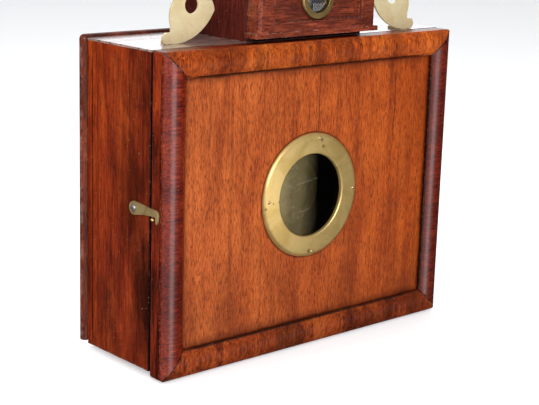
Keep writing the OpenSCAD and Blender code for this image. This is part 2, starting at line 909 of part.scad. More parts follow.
left_side();
right_side();
top_board();
bottom_board();
back_board();
light_seal();
base_runner_left();
base_runner_right();
tripod_bush();
wood_screws();
door_hinge_fixed();
screen_hinge_fixed();
finder_hinge_fixed();
lid_hinge_fixed();
hinge_pins();
latch_screw();
guide_rail_left();
guide_rail_right();
button_stud();
ear_left();
ear_right();
finder_left_side();
finder_right_side();
finder_back();
finder_mirror();
finder_screen();
door_frame();
door_panel();
moulding_top();
moulding_bottom();
moulding_left();
moulding_right();
window_ring();
window_glass();
window_pins();
door_hinge_leaf();
catch_pin();
latch_hook();
finder_door();
finder_lens_ring();
finder_lens();
finder_hinge_leaf();
finder_lid();
lid_hinge_leaf();
lens_standard();
focus_rack();
bellows();
rising_panel();
lens_flange();
lens_barrel();
front_glass();
rear_glass();
iris_ring();
pinion_shaft();
focus_knob();
screen_frame();
ground_glass();
screen_hinge_leaf();
turn_button();
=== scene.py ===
import bpy, json, math
from mathutils import Matrix, Vector


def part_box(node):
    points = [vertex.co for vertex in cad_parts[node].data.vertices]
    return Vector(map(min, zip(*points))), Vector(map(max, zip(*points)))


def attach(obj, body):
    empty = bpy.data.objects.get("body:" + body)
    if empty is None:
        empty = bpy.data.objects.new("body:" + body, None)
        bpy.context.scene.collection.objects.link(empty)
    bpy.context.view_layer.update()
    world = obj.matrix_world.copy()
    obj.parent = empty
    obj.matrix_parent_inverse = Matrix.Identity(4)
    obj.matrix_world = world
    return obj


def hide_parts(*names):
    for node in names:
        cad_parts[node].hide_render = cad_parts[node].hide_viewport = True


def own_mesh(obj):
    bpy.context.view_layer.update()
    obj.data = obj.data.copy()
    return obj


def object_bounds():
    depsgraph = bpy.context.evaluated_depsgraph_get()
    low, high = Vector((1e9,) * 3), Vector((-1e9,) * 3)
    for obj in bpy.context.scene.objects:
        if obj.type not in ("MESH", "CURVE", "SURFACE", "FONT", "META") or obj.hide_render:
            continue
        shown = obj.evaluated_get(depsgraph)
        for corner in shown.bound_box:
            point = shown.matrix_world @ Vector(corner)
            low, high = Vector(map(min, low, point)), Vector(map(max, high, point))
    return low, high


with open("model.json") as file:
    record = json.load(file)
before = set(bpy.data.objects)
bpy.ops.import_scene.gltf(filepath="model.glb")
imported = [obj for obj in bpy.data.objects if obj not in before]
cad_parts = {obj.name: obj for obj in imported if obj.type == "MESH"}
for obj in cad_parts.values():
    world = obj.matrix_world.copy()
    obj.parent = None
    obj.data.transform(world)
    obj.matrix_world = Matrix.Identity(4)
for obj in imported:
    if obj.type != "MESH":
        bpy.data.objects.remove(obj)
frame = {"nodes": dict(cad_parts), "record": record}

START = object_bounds()
NODES = frame["nodes"]
SLOT = {s["node"]: s["material_slot"] for s in frame["record"]["subparts"]}

X, Y, Z = 0, 1, 2

# ------------------------------------------- places on the part, in millimetres
RING = (-2.4, 118.6)          # centre of the window, x and z
RING_R = 50                   # outer radius of its brass ring
FIELD_X = 130.3               # the panel shows from -FIELD_X to FIELD_X
FIELD_Z = (15.9, 221.3)       # and between these heights
PANEL_MID = -47.5             # a y inside the thickness of the panel
DOOR = (150.8, -4.6, 241.8)   # half width, bottom and top of the door
DOOR_BACK = -41.7             # y of the door's back face
CASE_FRONT = -39.8            # y of the case's front end faces
BACK_LEFT = -154.8            # x of the back board's left edge
SIDE_FOOT = 0                 # z of the side board's bottom edge
MITRE = (*DOOR, 0.9)          # the corner joints, and the width of their dark line
SKIN = 0.08                   # how far in from an end face the painted gap shade is taken
PAINTED_LIGHT_SPAN = (36, 60, 74)     # the pane's painted light: start left of centre, width, height

# x0, z0, x1, z1 from the centre of the window
SCRATCHES = ((-14.3, 10.3, 4, 12.6), (5, 12.8, 10, 13.4), (-8, -12, 1, -10.8),
             (-26, 12, -15, 8.5), (-20, 25, -17, 23.5), (-3, 26, -2, 29),
             (-24, -24, -19, -25.5), (-22, -27, -18, -24), (-25, -2, -21, 0),
             (-17, -8, -14, -6.5))
# x, z, radius from the centre of the window
STAINS = ((11, 38.5, 1.6), (-47.7, -4.9, 1.3), (-34, -0.8, 1.4), (-0.9, -45.6, 2.0),
          (9.3, 43.8, 1.6), (46.6, 0.4, 1.4), (-44.9, 0.2, 1.5))

# ------------------------------------------------------------- shared colours
PAINTED_GAP_BLACK = (0.003, 0.002, 0.002)
PALE_SPECK = (0.5, 0.42, 0.36)
RUBBED_WOOD = (0.5, 0.4, 0.34)


def lin(r, g, b):
    """A linear colour from 0-255 display values."""
    return tuple((c / 255 / 12.92) if c / 255 <= 0.04045 else ((c / 255 + 0.055) / 1.055) ** 2.4
                 for c in (r, g, b))


def darker(col, k):
    return tuple(c * k for c in col)


# ------------------------------------------------------------------ node trees
class Net:
    """Short names for building a node material."""

    def __init__(self, name):
        self.mat = bpy.data.materials.new(name)
        self.mat.use_nodes = True
        self.tree = self.mat.node_tree
        self.tree.nodes.clear()
        self.out = self.add("ShaderNodeOutputMaterial")

    def add(self, kind, **settings):
        node = self.tree.nodes.new(kind)
        for key, value in settings.items():
            setattr(node, key, value)
        return node

    def put(self, socket, value):
        """Link a socket to another, or set a constant straight on it."""
        if isinstance(value, bpy.types.NodeSocket):
            self.tree.links.new(value, socket)
        elif isinstance(value, tuple) and len(value) == 3 and socket.type == "RGBA":
            socket.default_value = (*value, 1)
        elif value is not None:
            socket.default_value = value

    def place(self):
        """Object coordinates in millimetres."""
        node = self.add("ShaderNodeTexCoord")
        scaled = self.add("ShaderNodeVectorMath", operation="SCALE")
        self.put(scaled.inputs[0], node.outputs["Object"])
        self.put(scaled.inputs["Scale"], 1000.0)
        return scaled.outputs[0]

    def stretch(self, vec, scale, shift=(0, 0, 0)):
        node = self.add("ShaderNodeMapping")
        self.put(node.inputs["Vector"], vec)
        self.put(node.inputs["Scale"], scale)
        self.put(node.inputs["Location"], shift)
        return node.outputs[0]

    def noise(self, vec, scale=1.0, detail=4.0, rough=0.55, warp=0.0):
        node = self.add("ShaderNodeTexNoise")
        self.put(node.inputs["Vector"], vec)
        self.put(node.inputs["Scale"], scale)
        self.put(node.inputs["Detail"], detail)
        self.put(node.inputs["Roughness"], rough)
        self.put(node.inputs["Distortion"], warp)
        return node.outputs[0]

    def ramp(self, fac, stops):
        """Colours or grey levels at positions from 0 to 1."""
        node = self.add("ShaderNodeValToRGB")
        self.put(node.inputs[0], fac)
        items = node.color_ramp.elements
        while len(items) < len(stops):
            items.new(0.5)
        for item, (pos, col) in zip(items, stops):
            item.position = pos
            if not isinstance(col, tuple):
                col = (col, col, col)
            item.color = (*col, 1)
        return node.outputs[0]

    def math(self, op, a, b=None, clamp=False):
        node = self.add("ShaderNodeMath", operation=op, use_clamp=clamp)
        self.put(node.inputs[0], a)
        self.put(node.inputs[1], b)
        return node.outputs[0]

    def mul(self, a, b, clamp=False):
        return self.math("MULTIPLY", a, b, clamp)

    def plus(self, a, b, clamp=False):
        return self.math("ADD", a, b, clamp)

    def minus(self, a, b, clamp=False):
        return self.math("SUBTRACT", a, b, clamp)

    def mix(self, fac, a, b, blend="MIX"):
        node = self.add("ShaderNodeMix", data_type="RGBA", blend_type=blend)
        first, second, result = node.inputs[6], node.inputs[7], node.outputs[2]  # the RGBA ones
        self.put(node.inputs["Factor"], fac)
        self.put(first, a)
        self.put(second, b)
        return result

    def axis(self, vec, k):
        node = self.add("ShaderNodeSeparateXYZ")
        self.put(node.inputs[0], vec)
        return node.outputs[k]

    def gap(self, value, place):
        """How far a value is from a place."""
        return self.math("ABSOLUTE", self.minus(value, place))

    def share(self, value, start, end, clamp=False):
        """How far a value has come on the way from start to end, 0 to 1."""
        return self.mul(self.minus(value, start), 1 / (end - start), clamp)

    def fade(self, off, width):
        """1 at no distance, falling to 0 at a distance of width."""
        return self.minus(1.0, self.mul(off, 1 / width), clamp=True)

    def far(self, x, z, cx, cz):
        """Distance from a point in the x-z plane."""
        dx, dz = self.minus(x, cx), self.minus(z, cz)
        return self.math("SQRT", self.plus(self.mul(dx, dx), self.mul(dz, dz)))

    def scratch(self, x, z, x0, z0, x1, z1, width):
        """A hairline from one point to another in the x-z plane."""
        dx, dz = x1 - x0, z1 - z0
        square = dx * dx + dz * dz
        t = self.plus(self.mul(self.minus(x, x0), dx / square),
                      self.mul(self.minus(z, z0), dz / square), clamp=True)
        px = self.minus(x, self.mul(t, dx))
        pz = self.minus(z, self.mul(t, dz))
        return self.fade(self.far(px, pz, x0, z0), width)

    def edge(self, radius):
        """(rounded normal, how near a worn edge a point is). The radius is in metres."""
        bevel = self.add("ShaderNodeBevel", samples=6)
        self.put(bevel.inputs["Radius"], radius)
        geo = self.add("ShaderNodeNewGeometry")
        dot = self.add("ShaderNodeVectorMath", operation="DOT_PRODUCT")
        self.put(dot.inputs[0], bevel.outputs[0])
        self.put(dot.inputs[1], geo.outputs["Normal"])
        return bevel.outputs[0], self.minus(1.0, dot.outputs["Value"], clamp=True)

    def bump(self, height, strength, distance, normal=None):
        node = self.add("ShaderNodeBump")
        self.put(node.inputs["Strength"], strength)
        self.put(node.inputs["Distance"], distance)
        self.put(node.inputs["Height"], height)
        self.put(node.inputs["Normal"], normal)
        return node.outputs[0]

    def principled(self, **values):
        """A principled shader; an underscore stands for a space in a socket's name."""
        node = self.add("ShaderNodeBsdfPrincipled")
        for key, value in values.items():
            self.put(node.inputs[key.replace("_", " ")], value)
        return node.outputs[0]

    def diffuse(self, colour):
        node = self.add("ShaderNodeBsdfDiffuse")
        self.put(node.inputs[0], colour)
        return node.outputs[0]

    def layer(self, amount, under, over):
        """One shader laid over another."""
        node = self.add("ShaderNodeMixShader")
        self.put(node.inputs[0], amount)
        self.put(node.inputs[1], under)
        self.put(node.inputs[2], over)
        return node.outputs[0]

    def finish(self, shader):
        self.put(self.out.inputs[0], shader)
        return self.mat


def along(axis, fibre, cross):
    """A coordinate scale that runs long along one axis."""
    return tuple(fibre if k == axis else cross for k in range(3))


# ------------------------------------------------------------------- materials
def wood(name, axis, dark, mid, light, seed=0.0, rough=0.3, spec=0.35, coat=0.0,
         flecks=0.5, fleck_size=(0.2, 0.95), grain=(0.05, 0.9), figure=0.4, streaks=0.3,
         blotch=0.4, hairs=0.0, specks=0.0, wear=(0.5, 0.3, 0.2), wear_amount=0.6,
         cracks=(), joints_and_shade_lines=(), darker_borders=None, spread=0.12, tint=None, shade=None, painted_gap_shade=None,
         mitre=None, relief=0.3, scuff=None, painted_ring_shade=None):
    """Polished old wood whose fibres run along one axis. Places are in millimetres.

    cracks and joints_and_shade_lines: (axis, place, start, end, width), thin dark lines that
    wander or run straight; the straight ones mark joints and paint the shade in gaps.
    darker_borders: (x0, x1, z0, z1, reach), a field darker toward its borders.
    tint: (x0, x1, left, right), painted light: colours multiplied in across the width.
    shade: (axis, full, none, amount), a patchy darkening toward one side.
    painted_gap_shade: (axis, operation, place), faces painted black as the shade in a gap.
    mitre: (half_width, z0, z1, width), the dark line at each corner joint.
    scuff: (axis, place, reach, amount), an edge or face with pale rubbed patches.
    painted_ring_shade: (x, z, radius, width, back), painted contact shade: a dark line round
    a fitting, in front of a plane.
    """
    n = Net(name)
    p = n.place()
    shift = (seed * 3.1, seed * 1.7, seed * 2.3)

    def fibre(size, detail, rough, warp=0.0):
        """Noise drawn out along the fibres; size is its scale (along, across)."""
        return n.noise(n.stretch(p, along(axis, *size), shift), 1.0, detail, rough, warp)

    def even(size, detail, rough):
        return n.noise(n.stretch(p, (size, size, size), shift), 1.0, detail, rough)

    def stain_and_shade(base, mask, depth, amount=None):
        """The base with its own dark colour, darker by a factor, where the mask is 1."""
        if amount is not None:
            mask = n.mul(mask, amount)
        return n.mix(mask, base, darker(dark, depth))

    # the figure: from fine fibres to broad clouds
    fine = fibre(grain, 5, 0.7, 0.3)
    broad = fibre((0.008, 0.05), 3, 0.55, 0.6)
    cloud = fibre((0.011, 0.03), 4, 0.6, 0.5)
    pores = fibre(fleck_size, 1, 0.5)
    lines = fibre((0.006, 0.25), 3, 0.45, 0.5)
    fine_share = 0.8
    tone = n.plus(n.mul(fine, fine_share), n.mul(broad, figure))
    tone = n.mul(tone, 1 / (fine_share + figure))
    base = n.ramp(tone, [(0.5 - spread, dark), (0.5, mid), (0.5 + spread, light)])
    base = stain_and_shade(base, n.ramp(cloud, [(0.38, 1.0), (0.56, 0.0)]), 0.6, blotch)
    fleck = n.ramp(pores, [(0.52, 0.0), (0.64, 1.0)])
    base = stain_and_shade(base, fleck, 0.55, flecks)
    streak = n.ramp(lines, [(0.56, 0.0), (0.66, 1.0)])
    base = stain_and_shade(base, streak, 0.35, streaks)
    if hairs:
        hair = n.ramp(fibre((0.03, 1.6), 1, 0.5, 0.4), [(0.56, 0.0), (0.62, 1.0)])
        base = stain_and_shade(base, hair, 0.3, hairs)

    # age and painted light: cracks, joints, painted shade lines in gaps, darker borders,
    # painted light across the width and dark patches
    wander = n.mul(n.minus(even(0.05, 3, 0.6), 0.5), 5.0)
    # the straight lines also paint the shade in gaps
    for marks, straight, strength in ((cracks, False, 0.8), (joints_and_shade_lines, True, 0.93)):
        for k, place, start, end, width in marks:
            off = n.minus(n.axis(p, k), place)
            if not straight:
                off = n.plus(off, wander)
            line = n.fade(n.math("ABSOLUTE", off), width)
            if straight:
                line = n.mul(line, 2.2, clamp=True)
            run = n.share(n.axis(p, X if k == Z else Z), start, end)
            line = n.mul(line, n.ramp(run, [(0.0, 0.0), (0.06, 1.0), (0.9, 0.9), (1.0, 0.0)]))
            base = stain_and_shade(base, line, 0.12, strength)
    if darker_borders:
        x0, x1, z0, z1, reach = darker_borders
        x, z = n.axis(p, X), n.axis(p, Z)
        near = n.math("MINIMUM", n.minus(x, x0), n.minus(x1, x))
        near = n.math("MINIMUM", near, n.math("MINIMUM", n.minus(z, z0), n.minus(z1, z)))
        near = n.plus(near, n.mul(wander, 1.2))
        base = stain_and_shade(base, n.ramp(n.mul(near, 1 / reach), [(0.0, 0.9), (0.2, 0.5), (1.0, 0.0)]),
                     0.4)
    # painted light: colours multiplied in across the width
    if tint:
        x0, x1, left, right = tint
        across = n.share(n.axis(p, X), x0, x1, clamp=True)
        base = n.mix(1.0, base, n.mix(across, left, right), "MULTIPLY")
    if shade:
        k, full, none, amount = shade
        toward = n.plus(n.minus(n.axis(p, k), none), n.mul(wander, 3.0))
        toward = n.mul(toward, 1 / (full - none), clamp=True)
        toward = n.mul(toward, n.ramp(cloud, [(0.4, 1.0), (0.6, 0.25)]))
        base = stain_and_shade(base, toward, 0.2, amount)
    if mitre:
        half, z0, z1, width = mitre
        side = n.minus(half, n.math("ABSOLUTE", n.axis(p, X)))
        z = n.axis(p, Z)
        level = n.math("MINIMUM", n.minus(z, z0), n.minus(z1, z))
        line = n.mul(n.fade(n.gap(side, level), width), 1.8, clamp=True)
        base = stain_and_shade(base, line, 0.1, 0.92)

    # pale marks, and painted shade: a dark line round the window ring and black faces in a gap
    if specks:
        dots = n.ramp(n.noise(p, 0.75, 1, 0.5), [(0.76, 0.0), (0.79, 1.0)])
        base = n.mix(n.mul(dots, specks), base, PALE_SPECK)
    rounded, near = n.edge(0.0011)
    chips = n.noise(p, 0.3, 4, 0.7)
    worn = n.mul(n.ramp(near, [(0.03, 0.0), (0.22, 1.0)]),
                 n.ramp(chips, [(0.5, 0.0), (0.62, 1.0)]))
    base = n.mix(n.mul(worn, wear_amount), base, wear)
    # painted contact shade round a fitting
    if painted_ring_shade:
        x, z, radius, width, back = painted_ring_shade
        line = n.fade(n.gap(n.far(n.axis(p, X), n.axis(p, Z), x, z), radius), width)
        line = n.mul(line, n.math("LESS_THAN", n.axis(p, Y), back))
        base = stain_and_shade(base, line, 0.2, 0.85)
    if scuff:
        k, place, reach, amount = scuff
        near = n.fade(n.gap(n.axis(p, k), place), reach)
        rubbed = n.ramp(n.noise(p, 0.14, 4, 0.7), [(0.46, 0.0), (0.6, 1.0)])
        base = n.mix(n.mul(rubbed, n.mul(near, amount)), base, RUBBED_WOOD)
    # painted shade: the faces in a gap painted black
    if painted_gap_shade:
        k, operation, place = painted_gap_shade
        base = n.mix(n.math(operation, n.axis(p, k), place), base, PAINTED_GAP_BLACK)

    # the polish: smeared, dull where it is worn and along the dark streaks
    shine = n.plus(rough - 0.09, n.mul(even(0.03, 4, 0.6), 0.18))
    shine = n.plus(shine, n.mul(worn, 0.3))
    normal = n.bump(n.minus(fine, n.mul(fleck, 0.8)), relief, 0.0003, rounded)
    polish = n.mul(n.minus(1.0, n.mul(streak, 0.8)), coat)
    return n.finish(n.principled(Base_Color=base, Roughness=shine, Normal=normal,
                                 Coat_Weight=polish, Coat_Roughness=0.14,
                                 Specular_IOR_Level=spec))


def metal(name, light, dark, tarnish, rough=0.24, seed=0.0, spots=0.35, solid=1.0,
          dish=None, marks=()):
    """Old metal.

    solid: how metallic it is.
    dish: (x, z, radius, rise, lean_x, lean_z), a plate a little domed about a centre,
    its crown off to one side; the rise is in metres.
    marks: (x, z, radius) tarnished spots about that centre.
    """
    n = Net(name)
    p = n.place()
    patch = n.noise(n.stretch(p, (0.05, 0.05, 0.05), (seed, seed, 0)), 1.0, 5, 0.65, 0.6)
    fine = n.noise(n.stretch(p, (0.5, 0.5, 0.5), (0, seed, 0)), 1.0, 4, 0.6)
    hair = n.noise(n.stretch(p, (3.0, 3.0, 3.0)), 1.0, 3, 0.6)
    base = n.ramp(patch, [(0.36, dark), (0.56, light)])
    spot = n.ramp(fine, [(0.62, 0.0), (0.72, 1.0)])
    base = n.mix(n.mul(spot, spots), base, tarnish)
    rounded, near = n.edge(0.0004)
    if dish:
        cx, cz, radius, rise, lean_x, lean_z = dish
        x, z = n.minus(n.axis(p, X), cx), n.minus(n.axis(p, Z), cz)
        for mark_x, mark_z, mark_r in marks:
            off = n.mul(n.far(x, z, mark_x, mark_z), 0.5 / mark_r)
            mark = n.ramp(off, [(0.2, 1.0), (0.62, 0.0)])
            base = n.mix(n.mul(mark, 0.75), base, tarnish)
        x, z = n.minus(x, lean_x), n.minus(z, lean_z)
        square = n.plus(n.mul(x, x), n.mul(z, z))
        rounded = n.bump(n.mul(square, -1 / radius ** 2), 1.0, rise, rounded)
    rub = n.ramp(near, [(0.05, 0.0), (0.3, 1.0)])
    base = n.mix(n.mul(rub, 0.5), base, tuple(min(1, c * 1.15) for c in light))
    shine = n.plus(rough - 0.06, n.mul(patch, 0.12))
    shine = n.plus(shine, n.mul(spot, 0.12))
    normal = n.bump(n.plus(hair, n.mul(fine, 0.6)), 0.12, 0.0002, rounded)
    return n.finish(n.principled(Base_Color=base, Metallic=solid, Roughness=shine,
                                 Normal=normal))


def cloth(name, low, high, size, depth, rough, sheen):
    """Velvet, leather or blacking: a fine tooth between two colours."""
    n = Net(name)
    p = n.place()
    tooth = n.noise(p, size, 4, 0.6)
    broad = n.noise(p, 0.06, 3, 0.6)
    shine = n.plus(rough - 0.08, n.mul(broad, 0.16))
    return n.finish(n.principled(Base_Color=n.mix(n.mul(broad, tooth), low, high),
                                 Roughness=shine, Normal=n.bump(tooth, 0.5, depth),
                                 Sheen_Weight=sheen))


def glass(name, tint, film, cover):
    """Clear glass under a thin patchy film of dust."""
    n = Net(name)
    p = n.place()
    dust = n.noise(p, 0.9, 5, 0.7)
    patch = n.noise(p, 0.05, 3, 0.6)
    clear = n.principled(Base_Color=tint, Roughness=n.plus(0.03, n.mul(patch, 0.04)),
                         Transmission_Weight=1.0, IOR=1.5, Normal=n.bump(patch, 0.04, 0.0004))
    amount = n.mul(n.mul(dust, patch), cover, clamp=True)
    return n.finish(n.layer(amount, clear, n.diffuse(film)))


def pane(name, centre, radius):
    """The old door pane: dusty and scratched, with painted light: an olive film fading from the
    left.
    """
    n = Net(name)
    p = n.place()
    left, width, height = PAINTED_LIGHT_SPAN
    wobble = n.noise(p, 0.05, 3, 0.6)
    x = n.plus(n.axis(p, X), n.mul(wobble, 5.0))
    # painted light: a diffuse olive film, full on the left, fading out toward the right and a
    # little toward the bottom
    painted_light_share = n.ramp(n.mul(n.minus(x, centre[X] - left), 1 / width),
                   [(0.05, 1.0), (0.2, 0.76), (0.32, 0.48), (0.5, 0.38), (0.64, 0.14), (0.8, 0.0)])
    low = n.ramp(n.mul(n.minus(n.axis(p, Z), centre[Z] - radius), 1 / height),
                 [(0.05, 0.75), (0.5, 0.85), (0.95, 1.0)])
    mottle = n.ramp(n.noise(p, 0.12, 5, 0.65), [(0.3, 0.7), (0.7, 1.0)])
    painted_light_amount = n.mul(n.mul(painted_light_share, low), mottle)

    # hairlines and dust; the lines waver a little
    across = n.plus(n.minus(n.axis(p, X), centre[X]), n.mul(wobble, 1.5))
    level = n.plus(n.minus(n.axis(p, Z), centre[Z]), n.mul(wobble, 2.0))
    hairs = [n.scratch(across, level, *ends, 0.26) for ends in SCRATCHES]
    hair = hairs[0]
    for other in hairs[1:]:
        hair = n.math("MAXIMUM", hair, other)
    specks = n.ramp(n.noise(p, 1.2, 3, 0.7), [(0.58, 0.0), (0.66, 1.0)])
    few = n.ramp(n.noise(p, 0.09, 2, 0.6), [(0.42, 0.0), (0.58, 1.0)])
    few = n.mul(few, painted_light_share)
    bits = n.plus(n.mul(hair, 0.26), n.mul(n.mul(specks, few), 0.5))

    # a low index keeps the reflection of the room as faint as in the photograph
    clear = n.principled(Base_Color=(0.1, 0.095, 0.07),
                         Roughness=n.plus(0.02, n.mul(mottle, 0.05)),
                         Transmission_Weight=1.0, IOR=1.07, Specular_IOR_Level=0.1,
                         Normal=n.bump(wobble, 0.05, 0.0006))
    olive = n.mix(n.noise(p, 0.2, 4, 0.6), (0.23, 0.18, 0.08), (0.37, 0.3, 0.145))
    with_painted_light = n.layer(n.mul(painted_light_amount, 0.9), clear, n.diffuse(olive))
    return n.finish(n.layer(bits, with_painted_light, n.diffuse((0.42, 0.4, 0.34))))


def ground(name):
    """A finely ground focusing screen."""
    n = Net(name)
    p = n.place()
    tooth = n.noise(p, 6.0, 3, 0.7)
    marks = n.noise(p, 0.04, 4, 0.6)
    base = n.mix(marks, (0.72, 0.76, 0.74), (0.84, 0.87, 0.85))
    return n.finish(n.principled(Base_Color=base, Roughness=n.plus(0.5, n.mul(tooth, 0.2)),
                                 Transmission_Weight=0.75, IOR=1.45,
                                 Normal=n.bump(tooth, 0.4, 0.0001)))


def silvered(name):
    """An old mirror with brown spots."""
    n = Net(name)
    p = n.place()
    fox = n.ramp(n.noise(p, 0.12, 5, 0.7), [(0.62, 0.0), (0.72, 1.0)])
    base = n.mix(fox, (0.88, 0.89, 0.9), (0.3, 0.25, 0.2))
    return n.finish(n.principled(Base_Color=base, Metallic=1.0,
                                 Roughness=n.plus(0.04, n.mul(fox, 0.3))))


CASE_RUBBED = (0.6, 0.42, 0.3)
FINDER_RUBBED = (0.6, 0.5, 0.45)

SIDE = wood("side_mahogany", Z, lin(50, 11, 3), lin(114, 34, 6), lin(158, 64, 14), 3.0, 0.32, 0.2,
            figure=0.8, streaks=0.35, blotch=0.6, flecks=0.35, fleck_size=(0.25, 1.1),
            specks=0.6, wear=CASE_RUBBED, wear_amount=0.3, spread=0.16,
            scuff=(Z, SIDE_FOOT, 1.1, 0.45),
            # the line along the front edge is painted shade that widens the door gap
            joints_and_shade_lines=((Y, 33.5, -5, 245, 0.7), (Y, CASE_FRONT, -15, 190, 1.5)),
            # the front end face is painted black as the shade in the door gap
            shade=(Y, -40, -6, 0.85), painted_gap_shade=(Y, "LESS_THAN", CASE_FRONT + SKIN))
# the top and bottom boards: mahogany whose pale greyish colours also paint in part of the sheen
# the top reflects
TOP_WOOD_AND_SHEEN = wood("top_mahogany_and_painted_sheen", X, lin(92, 66, 60), lin(150, 122, 114), lin(182, 158, 150), 7.0, 0.3,
            0.6, 0.8, flecks=0.3, streaks=0.9, specks=0.5, spread=0.16)
BACKW = wood("back_mahogany", Z, lin(50, 12, 5), lin(98, 34, 14), lin(128, 56, 30), 11.0, 0.3,
             blotch=0.6, specks=0.4, wear=(0.55, 0.36, 0.3),
             scuff=(X, BACK_LEFT, 1.0, 0.16))
PANEL = wood("panel_veneer", Z, lin(124, 46, 18), lin(174, 82, 34), lin(200, 108, 52), 2.0, 0.42,
             0.14, flecks=0.62, fleck_size=(0.28, 1.5), grain=(0.13, 1.7), figure=0.4,
             streaks=0.3, blotch=0.3, specks=0.1, spread=0.13,
             cracks=((X, 5, 166, 220, 0.9), (X, 91, 150, 214, 1.0), (X, -18, 216, 232, 0.6),
                     (X, -78, 208, 222, 0.6)),
             darker_borders=(-FIELD_X, FIELD_X, *FIELD_Z, 7), shade=(Z, 8, 75, 0.4),
             # painted contact shade: a dark line round the window ring
             painted_ring_shade=(*RING, RING_R + 0.3, 1.5, PANEL_MID),
             # painted light: lighter and paler on the left, darker and more orange on the right
             tint=(-120, 110, (1.0, 1.03, 0.98), (0.83, 0.67, 0.22)))
RAILW = wood("cross_veneer_level", Z, lin(98, 30, 6), lin(174, 76, 20), lin(204, 106, 38), 5.0,
             0.3, 0.22, flecks=0.5, fleck_size=(0.25, 1.1), figure=0.6, streaks=0.5,
             blotch=0.65, hairs=0.4, mitre=MITRE, cracks=((X, -91.5, 215, 245, 0.7),),
             # the dark line along the rail's lower edge over the panel is painted shade in the gap
             joints_and_shade_lines=((Z, FIELD_Z[1], -134, 134, 2.2),))
LOWRAIL = wood("cross_veneer_foot", Z, lin(66, 20, 5), lin(144, 56, 14), lin(172, 84, 30), 15.0,
               0.3, 0.25, flecks=0.5, fleck_size=(0.25, 1.1), figure=0.6, streaks=0.5,
               # the dark line along the rail's top edge by the panel is painted shade on the ledge
               blotch=0.65, hairs=0.4, mitre=MITRE, joints_and_shade_lines=((Z, FIELD_Z[0], -134, 134, 1.1),))
STILEW = wood("cross_veneer_upright", X, lin(62, 11, 4), lin(112, 27, 8), lin(142, 50, 19), 9.0,
              0.22, 0.5, flecks=0.25, figure=0.35, streaks=0.25, blotch=0.35, hairs=0.4,
              relief=0.07, mitre=MITRE, cracks=((Z, 26, -153, -128, 0.6),),
              # the dark line along the inner edge is painted shade in the gap by the panel
              joints_and_shade_lines=((X, -FIELD_X, 10, 227, 1.1),))
STILER = wood("cross_veneer_hinge_side", X, lin(56, 10, 4), lin(100, 24, 8), lin(126, 42, 16),
              29.0, 0.24, 0.5, flecks=0.25, figure=0.35, streaks=0.25, blotch=0.35, hairs=0.4,
              # the dark line along the inner edge is painted shade in the gap by the panel
              relief=0.07, mitre=MITRE, joints_and_shade_lines=((X, FIELD_X, 10, 227, 1.3),))
FRAMEW = wood("door_edge_mahogany", Z, lin(46, 10, 3), lin(118, 33, 6), lin(152, 58, 15), 13.0,
              0.32, 0.2, figure=0.8, streaks=0.5, blotch=0.5, specks=0.5, wear_amount=0.25,
              # the back face is painted black as the shade in the door gap
              joints_and_shade_lines=((Y, -52.2, -5, 245, 0.7),), painted_gap_shade=(Y, "GREATER_THAN", DOOR_BACK - SKIN))
FINDW = wood("finder_mahogany", X, lin(58, 16, 8), lin(120, 46, 24), lin(146, 70, 40), 19.0,
             0.28, 0.35, blotch=0.5, wear=FINDER_RUBBED, wear_amount=0.5)
FINDS = wood("finder_side_mahogany", Z, lin(30, 8, 5), lin(74, 22, 15), lin(104, 40, 28), 23.0,
             0.3, 0.35, blotch=0.6, specks=0.8, wear=FINDER_RUBBED, wear_amount=0.8)
BRASS = metal("aged_brass", lin(222, 190, 126), lin(196, 158, 92), lin(120, 84, 40), 0.3, 1.0)
EARB = metal("ear_brass", lin(255, 238, 192), lin(246, 220, 164), lin(170, 120, 60), 0.4, 1.0,
             spots=0.2, solid=0.6)
RINGB = metal("ring_brass", lin(224, 192, 124), lin(206, 172, 102), lin(126, 76, 40), 0.42, 4.0,
              spots=0.22, solid=0.75, dish=(*RING, RING_R, 0.0042, 12, -4), marks=STAINS)
HOOKB = metal("hook_brass", lin(206, 178, 124), lin(166, 134, 84), lin(90, 62, 34), 0.42, 14.0,
              solid=0.75)
DARKS = metal("dark_screw", (0.36, 0.34, 0.33), (0.2, 0.19, 0.18), (0.08, 0.06, 0.05), 0.4, 18.0,
              solid=0.8)
PALEB = metal("pale_brass", lin(246, 226, 176), lin(230, 200, 140), lin(170, 130, 70), 0.36, 6.0,
              spots=0.2)
STEEL = metal("dull_steel", (0.5, 0.49, 0.47), (0.32, 0.3, 0.28), (0.12, 0.08, 0.05), 0.35, 8.0)
BLACKW = cloth("blacked_wood", (0.008, 0.007, 0.006), (0.03, 0.028, 0.025), 0.5, 0.0002, 0.7, 0.0)
VELVET = cloth("black_velvet", (0.006, 0.006, 0.006), (0.03, 0.028, 0.028), 3.0, 0.0003, 0.95,
               0.4)
BELLOWS = cloth("bellows_leather", (0.015, 0.014, 0.014), (0.06, 0.055, 0.055), 1.4, 0.0003, 0.6,
                0.1)
LENSG = glass("lens_glass_clear", (0.93, 0.96, 0.97), (0.5, 0.5, 0.48), 0.12)
GROUND = ground("ground_glass_fine")
MIRROR = silvered("old_mirror")


def mid(node):
    a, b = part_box(node)
    return (Vector(a) + Vector(b)) / 2


# ------------------------------------------- which material each piece is given
PANE_R = 37  # mm
WIN = mid("window_glass")
PANE = pane("window_pane", [c * 1000 for c in WIN], PANE_R)

